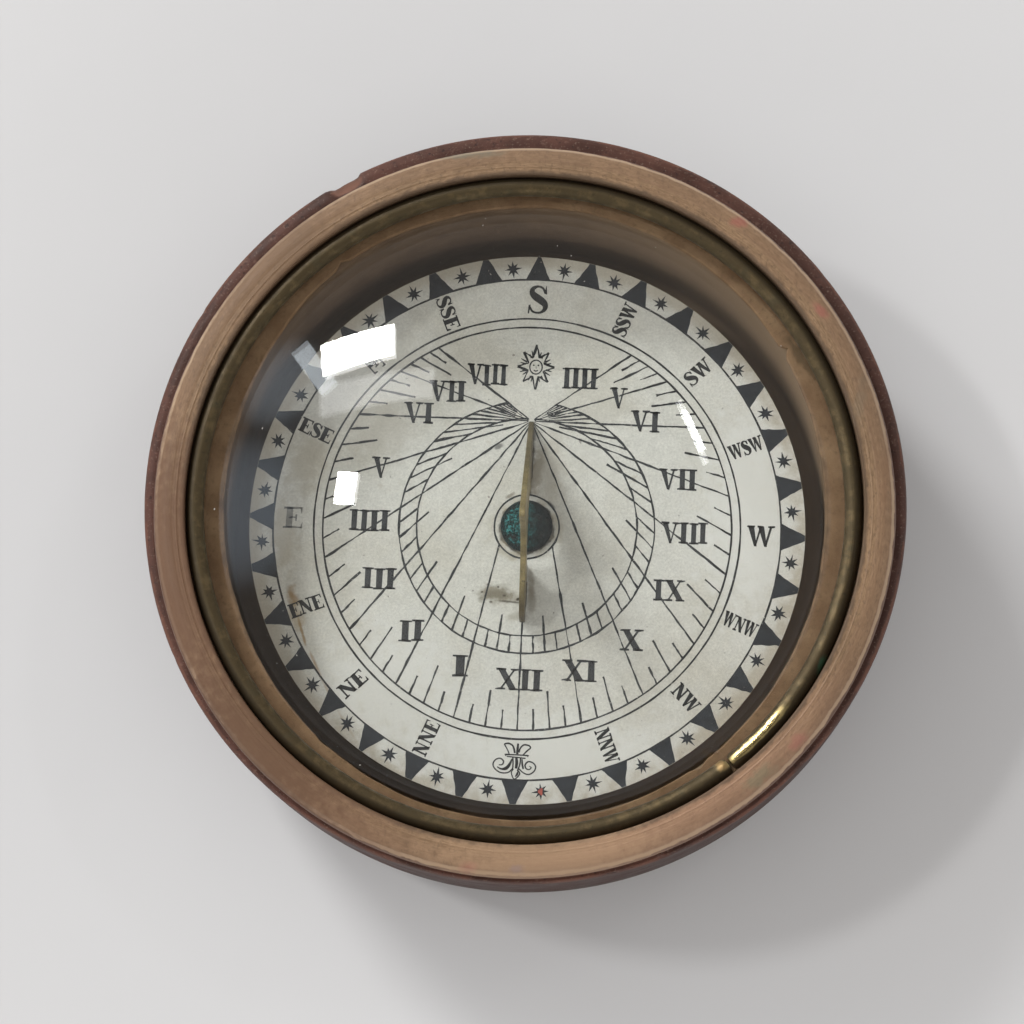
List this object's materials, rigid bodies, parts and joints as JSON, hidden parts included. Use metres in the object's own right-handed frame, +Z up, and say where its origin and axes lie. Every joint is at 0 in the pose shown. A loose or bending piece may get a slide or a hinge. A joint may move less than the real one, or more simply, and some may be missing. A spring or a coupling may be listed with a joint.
{
  "type": "pocket sundial compass",
  "caption": "Floating compass card with a brass gnomon and printed hour lines, on a needle point in a shallow turned wooden case under a domed glass.",
  "frame": {"origin": "centre of the foot ring that the case stands on", "axes": "+Z up along the case axis, +Y towards the south point of the dial (2.7 degrees off at rest), +X towards its west point"},
  "size_m": [0.06, 0.06, 0.0247],
  "materials": {
    "case_wood": "worn dark red-brown lacquer outside, bare turned wood on the rim",
    "bedding_board": "brown, ragged at its inner edge",
    "crystal_glass": "clear, with fine dust",
    "wire_brass": "tarnished olive, brighter where it is rubbed",
    "turned_brass": "turned, dull",
    "needle_steel": "hardened and polished",
    "dial_paper": "printed in slate ink, aged and lightly stained",
    "backing_board": "pressed board",
    "plate_brass": "dull, filed edges",
    "cap_brass": "dark with green tarnish",
    "jewel_stone": "polished",
    "magnet_steel": "blued",
    "strap_paper": "glued strip",
    "sealing_wax": "sealing wax, dull"
  },
  "bodies": {
    "case": {"case_body": "case_wood", "bedding_ring": "bedding_board", "crystal": "crystal_glass", "retaining_ring": "wire_brass", "pivot_bush": "turned_brass", "pivot_needle": "needle_steel"},
    "card": {"dial_card": "dial_paper", "card_backing": "backing_board", "gnomon": "plate_brass", "card_cap": "cap_brass", "cap_jewel": "jewel_stone", "needle_spacer": "turned_brass", "magnet_needle": "magnet_steel", "cap_collar": "turned_brass", "needle_strap_north": "strap_paper", "needle_strap_south": "strap_paper", "balance_wax": "sealing_wax"}
  },
  "joints": [
    {"name": "card_spin", "type": "hinge", "parent": "case", "child": "card", "pos_m": [0, 0, 0.0095], "axis": [0, 0, 1], "continuous": true}
  ]
}
